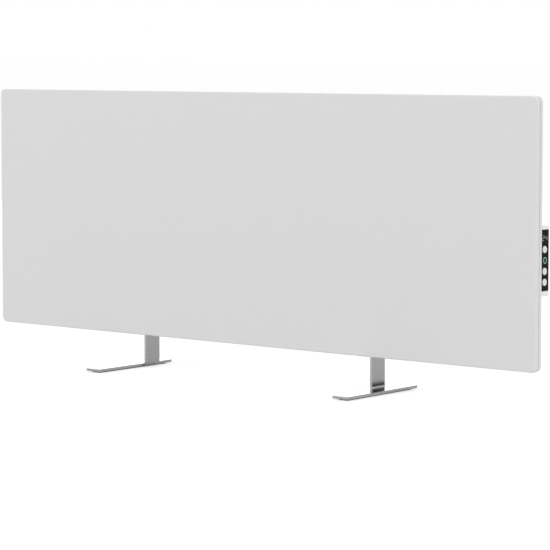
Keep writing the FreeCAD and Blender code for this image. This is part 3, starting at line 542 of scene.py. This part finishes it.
@dataclass(frozen=True)
class ScrewSet:
    """One group of pan-head screws, each with a driven recess in its head.

    A mirrored group has its heads away from the middle of the heater. The shares are of the head's radius
    for the recess, of its height for the recess's depth and the upright side, and of the shank for the tip.
    """

    node: str
    drive: Drive
    outward: Triple
    head_height: float
    shank_radius: float
    mirrored: bool = False
    recess_share: float = 0.52
    recess_depth_share: float = 0.6
    side_share: float = 0.4
    tip_share: float = 0.8

    def build(self) -> None:
        """Make every screw of the group as one piece and stand it in for the node."""
        whole = bmesh.new()
        for low, high in loose_boxes(self.node):
            part = self._screw(low, high)
            copy = bpy.data.meshes.new("screw")
            part.to_mesh(copy)
            part.free()
            whole.from_mesh(copy)
            bpy.data.meshes.remove(copy)
        piece = add_piece(self.node + "_driven", whole, ZINC, ROOT_BODY)
        shade_smooth(piece)
        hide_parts(self.node)

    def _screw(self, low: Vector, high: Vector) -> bmesh.types.BMesh:
        """One screw inside its box.

        Args:
            low: Low corner of the plain screw's box.
            high: High corner of that box.

        Returns:
            The screw, in place.
        """
        middle = (low + high) / 2
        span = high - low
        direction = Vector(self.outward)
        if self.mirrored and middle.x < 0:
            direction.x = -direction.x
        along = abs(span.dot(direction))
        head_radius = max(span - direction * span.dot(direction)) / 2
        shank_end = self.head_height - along
        recess = head_radius * self.recess_share
        shoulder = (head_radius, self.head_height * self.side_share)
        tip = self.shank_radius * self.tip_share
        profile = [
            (0.0, shank_end),
            (tip, shank_end),
            (self.shank_radius, shank_end + self.shank_radius - tip),
            (self.shank_radius, 0.0),
            (head_radius, 0.0),
            shoulder,
        ]
        mesh = spun(profile + quarter_round(shoulder, (recess, self.head_height)))
        self._cut_recess(mesh, recess)
        return placed(mesh, middle + direction * (along / 2 - self.head_height), direction)

    def _cut_recess(self, mesh: bmesh.types.BMesh, size: float) -> None:
        """Shape the open ring on top of the head and sink it.

        Args:
            mesh: The screw about the origin, changed in place.
            size: Reach of the recess from the axis.
        """
        rim = [edge for edge in mesh.edges if edge.is_boundary]
        for vert in {vert for edge in rim for vert in edge.verts}:
            angle = math.atan2(vert.co.y, vert.co.x)
            reach = self.drive.reach(angle, size)
            vert.co.x, vert.co.y = reach * math.cos(angle), reach * math.sin(angle)
        sunk = bmesh.ops.extrude_edge_only(mesh, edges=rim)["geom"]
        floor = [item for item in sunk if isinstance(item, bmesh.types.BMVert)]
        depth = self.head_height * self.recess_depth_share
        bmesh.ops.translate(mesh, vec=(0.0, 0.0, -depth), verts=floor)
        bmesh.ops.contextual_create(mesh, geom=[edge for edge in mesh.edges if edge.is_boundary])
        bmesh.ops.recalc_face_normals(mesh, faces=mesh.faces)


@dataclass(frozen=True)
class PanelBody:
    """The two coated pans, the seam between them and the layers inside."""

    shell_screws: ScrewSet = ScrewSet("shell_screws", Drive.CROSS, TO_BACK, head_height=1.7 * MM,
                                      shank_radius=1.45 * MM)
    inner: dict[str, Finish] = field(default_factory=lambda: {
        "heating_foil": HEATING_FILM,
        "bus_strips": COPPER,
        "reflector_sheet": FOIL,
        "insulation_mat": FIBRE,
        "foil_terminals": COPPER,
        "thermal_cutout": DARK_PLASTIC,
        "heater_leads": SLEEVE_RED,
        "lead_grommet": BLACK_RUBBER,
        "shell_spacers": ZINC,
        "wall_inserts": ZINC,
        "bracket_inserts": ZINC,
    })

    def build(self) -> None:
        """Dress the pans, the seam and the layers."""
        dress("front_panel", POWDER_COAT)
        dress("rear_shell", POWDER_COAT)
        # The seal's near-black colour is painted shade in the seam.
        dress("edge_seal", SEAM_PAINTED_SHADE)
        self.shell_screws.build()
        dress_all(self.inner)


@dataclass(frozen=True)
class Feet:
    """The two bent chrome feet with their pads, brackets and fasteners."""

    edge_round: float = 0.5 * MM
    foot_screws: ScrewSet = ScrewSet("foot_screws", Drive.HEX, TO_RIGHT, head_height=3.0 * MM,
                                     shank_radius=2.5 * MM, mirrored=True)
    bracket_screws: ScrewSet = ScrewSet("bracket_screws", Drive.HEX, TO_BACK, head_height=2.8 * MM,
                                        shank_radius=2.0 * MM)

    def build(self) -> None:
        """Dress both feet and what carries them."""
        for side in SIDES:
            dress("foot_" + side, CHROME)
            # The pads' near-black colour is painted shade under the feet.
            dress("foot_pad_" + side, PAD_PAINTED_SHADE)
            soften("foot_bracket_" + side, POWDER_COAT, self.edge_round)
        soften("foot_nuts", ZINC, self.edge_round)
        self.foot_screws.build()
        self.bracket_screws.build()


@dataclass(frozen=True)
class ButtonCap:
    """A round push button with a soft edge and a shallow dish."""

    node: str
    cap_radius: float = 4.75 * MM
    stem_radius: float = 2.0 * MM
    stem_length: float = 3.2 * MM
    flange_thickness: float = 1.5 * MM
    edge_round: float = 0.6 * MM
    dish_depth: float = 0.3 * MM

    def build(self) -> None:
        """Spin the button and stand it in for the plain one."""
        low, high = (Vector(corner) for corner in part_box(self.node))
        face = high.x - low.x
        flange = (high.y - low.y) / 2
        flange_back = self.stem_length + self.flange_thickness
        shoulder = (self.cap_radius, face - self.edge_round)
        rim = (self.cap_radius - self.edge_round, face)
        profile = [
            (0.0, 0.0),
            (self.stem_radius, 0.0),
            (self.stem_radius, self.stem_length),
            (flange, self.stem_length),
            (flange, flange_back),
            (self.cap_radius, flange_back),
            shoulder,
        ]
        dish = [(rim[0] * share, face - self.dish_depth * (1.0 - share ** 2)) for share in DISH_SHARES]
        seat = Vector((low.x, (low.y + high.y) / 2, (low.z + high.z) / 2))
        mesh = placed(spun(profile + quarter_round(shoulder, rim) + dish), seat, Vector(TO_RIGHT))
        piece = add_piece(self.node + "_cap", mesh, CAP_WHITE, self.node)
        shade_smooth(piece)
        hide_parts(self.node)


@dataclass(frozen=True)
class Display:
    """The two lit seven-segment digits on the fascia.

    Width and height run between the middles of the outer bars. The lean is sideways per height.
    """

    digits: tuple[tuple[Segment, ...], ...] = (
        (Segment.TOP, Segment.UPPER_RIGHT, Segment.MIDDLE, Segment.LOWER_LEFT, Segment.BOTTOM),
        (Segment.UPPER_LEFT, Segment.UPPER_RIGHT, Segment.MIDDLE, Segment.LOWER_RIGHT),
    )
    width: float = 4.35 * MM
    height: float = 6.0 * MM
    pitch: float = 7.3 * MM
    bar: float = 0.85 * MM
    bar_gap: float = 0.12 * MM
    point_share: float = 0.45
    lean: float = 0.2
    relief: float = 0.08 * MM
    above_centre: float = 29.4 * MM
    behind_centre: float = 0.4 * MM

    def build(self) -> None:
        """Lay the lit bars on the fascia's face as one slightly raised mesh."""
        mesh = bmesh.new()
        for place, lit in enumerate(self.digits):
            start = (place - (len(self.digits) - 1) / 2) * self.pitch
            for segment in lit:
                self._bar(mesh, segment, start)
        low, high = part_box("fascia")
        centre = Vector((high[0], (low[1] + high[1]) / 2 + self.behind_centre,
                         (low[2] + high[2]) / 2 + self.above_centre))
        leaning = Matrix.Identity(4)
        leaning[1][2] = self.lean
        bmesh.ops.transform(mesh, matrix=Matrix.Translation(centre) @ leaning, verts=mesh.verts)
        add_piece("display_digits", mesh, DIGIT_GLOW, ROOT_BODY)

    def _bar(self, mesh: bmesh.types.BMesh, segment: Segment, start: float) -> None:
        """Add one bar with pointed ends.

        Args:
            mesh: The digits' mesh, which takes the bar.
            segment: Which bar of the digit it is.
            start: Middle of the digit along the fascia, in metres.
        """
        across, up, upright = segment.value
        length = (self.height / 2 if upright else self.width) - self.bar_gap
        size = (self.relief, self.bar, length) if upright else (self.relief, length, self.bar)
        verts = bmesh.ops.create_cube(mesh, size=1.0)["verts"]
        bmesh.ops.scale(mesh, vec=size, verts=verts)
        bmesh.ops.translate(mesh, vec=(0.0, start + across * self.width, up * self.height), verts=verts)
        through = [edge for vert in verts if vert.co.x < 0.0
                   for edge in vert.link_edges if edge.other_vert(vert).co.x > 0.0]
        bmesh.ops.bevel(mesh, geom=through, offset=self.bar * self.point_share, affect="EDGES", segments=1,
                        profile=0.5, material=-1)


@dataclass(frozen=True)
class ControlBox:
    """The end control box with its fascia, display, buttons and boards."""

    fascia_round: float = 0.3 * MM
    gland_round: float = 0.6 * MM
    white_buttons: tuple[str, ...] = ("mode_button", "plus_button", "minus_button")
    cover_screws: ScrewSet = ScrewSet("cover_screws", Drive.CROSS, TO_BACK, head_height=1.8 * MM,
                                      shank_radius=1.45 * MM)
    inner: dict[str, Finish] = field(default_factory=lambda: {
        "control_base": SATIN_WHITE,
        "base_screws": ZINC,
        "display_module": DARK_PLASTIC,
        "display_board": BOARD,
        "tact_switches": DARK_PLASTIC,
        "mode_plunger": DARK_PLASTIC,
        "power_plunger": DARK_PLASTIC,
        "plus_plunger": DARK_PLASTIC,
        "minus_plunger": DARK_PLASTIC,
        "power_board": BOARD,
        "terminal_block": DARK_PLASTIC,
        "relay": DARK_PLASTIC,
        "transformer": TAPE,
        "capacitor": DARK_PLASTIC,
        "radio_module": BOARD,
        "tip_over_switch": DARK_PLASTIC,
        "room_sensor": DARK_PLASTIC,
        "link_header": DARK_PLASTIC,
        "board_screws": ZINC,
        "gland_nut": GREY_NYLON,
        "power_ring": RING_GREEN,
    })

    def build(self) -> None:
        """Dress the box, its controls and what is inside."""
        dress("control_cover", SATIN_WHITE)
        dress_all(self.inner)
        for node in self.white_buttons:
            ButtonCap(node).build()
        # The cap's glow is painted light.
        dress("power_button", CAP_DARK_PAINTED_GLOW)
        soften("fascia", BLACK_GLOSS, self.fascia_round)
        soften("cable_gland", GREY_NYLON, self.gland_round)
        self.cover_screws.build()
        Display().build()


@dataclass(frozen=True)
class Lamp:
    """A soft square lamp: its place and side in metres, its power in watts."""

    name: str
    place: Triple
    side: float
    power: float

    def build(self, target: Vector) -> None:
        """Hang the lamp and aim it.

        Args:
            target: The point that it lights.
        """
        light = bpy.data.lights.new(self.name, "AREA")
        light.size = self.side
        light.energy = self.power
        holder = bpy.data.objects.new(self.name, light)
        holder.location = self.place
        aim = target - Vector(self.place)
        holder.rotation_euler = aim.to_track_quat("-Z", "Y").to_euler()
        bpy.context.scene.collection.objects.link(holder)
        LOG.info("hung %s", self.name)


@dataclass(frozen=True)
class MirrorCard:
    """An upright card on the floor that only mirrored rays see.

    Its tone is a grey, and its glow is its own light, where 1 is white.
    """

    width: float
    height: float
    tone: float = 0.0
    glow: float = 0.0

    def build(self, name: str, place: Vector, facing: Vector) -> None:
        """Stand the card up.

        Args:
            name: The card's name.
            place: Where the middle of its lower edge stands, in metres.
            facing: Level direction that it looks in.
        """
        mesh = bmesh.new()
        bmesh.ops.create_grid(mesh, x_segments=1, y_segments=1, size=1.0)
        bmesh.ops.scale(mesh, vec=(self.width / 2, self.height / 2, 1.0), verts=mesh.verts)
        placed(mesh, place + Vector((0.0, 0.0, self.height / 2)), facing)
        material = new_material(name)
        shader = material.node_tree.nodes[PRINCIPLED]
        shader.inputs["Base Color"].default_value = grey(self.tone)
        shader.inputs["Roughness"].default_value = 1.0
        shader.inputs["Emission Color"].default_value = grey(1.0)
        shader.inputs["Emission Strength"].default_value = self.glow
        card = add_object(name, mesh, material)
        card.visible_camera = False
        card.visible_diffuse = False
        card.visible_shadow = False
        LOG.info("stood up %s", name)


@dataclass(frozen=True)
class Studio:
    """Pale floor, soft light and the camera.

    Places and sizes are in metres, azimuth and pitch in degrees, the sensor in millimetres. The lens and its
    axis are in pixels of the picture. Tones are greys, lifts and levels are light, where 1 is white.
    """

    lens_pixels: float = 2465.67
    axis_pixel: Pair = (274.98, 244.69)
    azimuth: float = 39.441
    pitch: float = 4.448
    position: Triple = (2.2839, -2.7136, 0.4732)
    sensor: float = 36.0
    view_reach: float = 200.0
    ambient: float = 0.73
    white_level: float = 1.0
    floor_half: float = 80.0
    floor_roughness: float = 0.9
    floor_tone: float = 0.85
    floor_seen_tone: float = 0.45
    floor_lift: float = 0.66
    floor_mirror_lift: float = 0.05
    flag: MirrorCard = MirrorCard(width=3.4, height=0.7, tone=0.05)
    flag_place: Triple = (1.25, 1.0, 0.0)
    foot_card: MirrorCard = MirrorCard(width=0.06, height=0.09, glow=1.0)
    foot_card_reach: float = 0.1
    lamps: tuple[Lamp, ...] = (
        Lamp("key_light", (-2.2, -3.2, 2.2), 3.0, 33.5),
        Lamp("back_light", (-2.4, 3.4, 0.9), 3.0, 26.0),
        Lamp("side_light", (3.2, -0.6, 2.2), 2.4, 33.0),
    )
    lamp_target: Triple = (0.0, 0.0, 0.23)

    def build(self) -> None:
        """Make the floor, the lights and the camera."""
        self._world()
        self._floor()
        self._flag()
        self._foot_cards()
        for lamp in self.lamps:
            lamp.build(Vector(self.lamp_target))
        self._camera()
        bpy.context.scene.view_settings.view_transform = "Standard"

    def _seen(self, tree: bpy.types.NodeTree) -> bpy.types.NodeSocket:
        """Whether a ray shows the background: camera, glossy and transmission rays.

        Args:
            tree: The node tree the test goes into.

        Returns:
            Output that is 1 for those rays and 0 for the rest.
        """
        rays = tree.nodes.new("ShaderNodeLightPath")
        seen = rays.outputs["Is Camera Ray"]
        for kind in ("Is Glossy Ray", "Is Transmission Ray"):
            either = tree.nodes.new("ShaderNodeMath")
            either.operation = "MAXIMUM"
            tree.links.new(seen, either.inputs[0])
            tree.links.new(rays.outputs[kind], either.inputs[1])
            seen = either.outputs["Value"]
        return seen

    def _world(self) -> None:
        """Even white surroundings, lit at a plain level."""
        world = bpy.data.worlds.new("studio_white")
        world.use_nodes = True
        tree = world.node_tree
        background = tree.nodes["Background"]
        background.inputs["Color"].default_value = grey(1.0)
        level = tree.nodes.new("ShaderNodeMapRange")
        level.inputs["To Min"].default_value = self.ambient
        level.inputs["To Max"].default_value = self.white_level
        tree.links.new(self._seen(tree), level.inputs["Value"])
        tree.links.new(level.outputs["Result"], background.inputs["Strength"])
        bpy.context.scene.world = world

    def _floor(self) -> None:
        """White floor that keeps the shadow."""
        mesh = bmesh.new()
        bmesh.ops.create_grid(mesh, x_segments=2, y_segments=2, size=self.floor_half)
        floor = add_object("studio_floor", mesh, self._floor_white())
        LOG.info("laid %s", floor.name)

    def _floor_white(self) -> bpy.types.Material:
        """Floor that looks white to the camera and is a plain pale grey to the light.

        Returns:
            The material.
        """
        material = new_material("floor_white")
        tree = material.node_tree
        shader = tree.nodes[PRINCIPLED]
        shader.inputs["Roughness"].default_value = self.floor_roughness
        shader.inputs["Specular IOR Level"].default_value = 0.0
        shader.inputs["Emission Color"].default_value = grey(1.0)
        rays = tree.nodes.new("ShaderNodeLightPath")
        tone = tree.nodes.new("ShaderNodeMixRGB")
        tone.inputs["Color1"].default_value = grey(self.floor_tone)
        tone.inputs["Color2"].default_value = grey(self.floor_seen_tone)
        mirrored = tree.nodes.new("ShaderNodeMapRange")
        mirrored.inputs["To Max"].default_value = self.floor_mirror_lift
        lift = tree.nodes.new("ShaderNodeMixRGB")
        lift.inputs["Color2"].default_value = grey(self.floor_lift)
        tree.links.new(self._seen(tree), mirrored.inputs["Value"])
        tree.links.new(rays.outputs["Is Camera Ray"], tone.inputs["Fac"])
        tree.links.new(rays.outputs["Is Camera Ray"], lift.inputs["Fac"])
        tree.links.new(mirrored.outputs["Result"], lift.inputs["Color1"])
        tree.links.new(tone.outputs["Color"], shader.inputs["Base Color"])
        tree.links.new(lift.outputs["Color"], shader.inputs["Emission Strength"])
        return material

    def _flag(self) -> None:
        """Dark card off to the right that the chrome and the fascia mirror."""
        place = Vector(self.flag_place)
        self.flag.build("dark_flag", place, -place)

    def _foot_cards(self) -> None:
        """White card beside each foot that the front edge of its upright mirrors."""
        turn = math.radians(self.azimuth)
        facing = Vector((math.sin(turn), math.cos(turn), 0.0))
        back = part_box("rear_shell")[1][1]
        for side in SIDES:
            low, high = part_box("foot_" + side)
            upright = Vector((min(low[0], high[0], key=abs), back, 0.0))
            self.foot_card.build("white_card_" + side, upright - facing * self.foot_card_reach, facing)

    def _camera(self) -> None:
        """Camera at the photograph's viewing angle."""
        data = bpy.data.cameras.new("main_camera")
        data.sensor_width = self.sensor
        data.lens = self.lens_pixels / IMAGE_PIXELS * self.sensor
        half = IMAGE_PIXELS / 2
        data.shift_x = (half - self.axis_pixel[0]) / IMAGE_PIXELS
        data.shift_y = (self.axis_pixel[1] - half) / IMAGE_PIXELS
        data.clip_end = self.view_reach
        camera = bpy.data.objects.new("main_camera", data)
        turn, dip = math.radians(self.azimuth), math.radians(self.pitch)
        forward = Vector((-math.sin(turn) * math.cos(dip), math.cos(turn) * math.cos(dip), -math.sin(dip)))
        camera.location = self.position
        camera.rotation_euler = forward.to_track_quat("-Z", "Y").to_euler()
        bpy.context.scene.collection.objects.link(camera)
        bpy.context.scene.camera = camera
        LOG.info("set up %s", camera.name)


def main() -> None:
    """Build every sub-assembly in order, then the studio."""
    logging.basicConfig(level=logging.INFO, format="%(name)s: %(message)s")
    for part in (PanelBody(), Feet(), ControlBox(), Studio()):
        LOG.info("building %s", type(part).__name__)
        part.build()


if __name__ == "__main__":
    main()
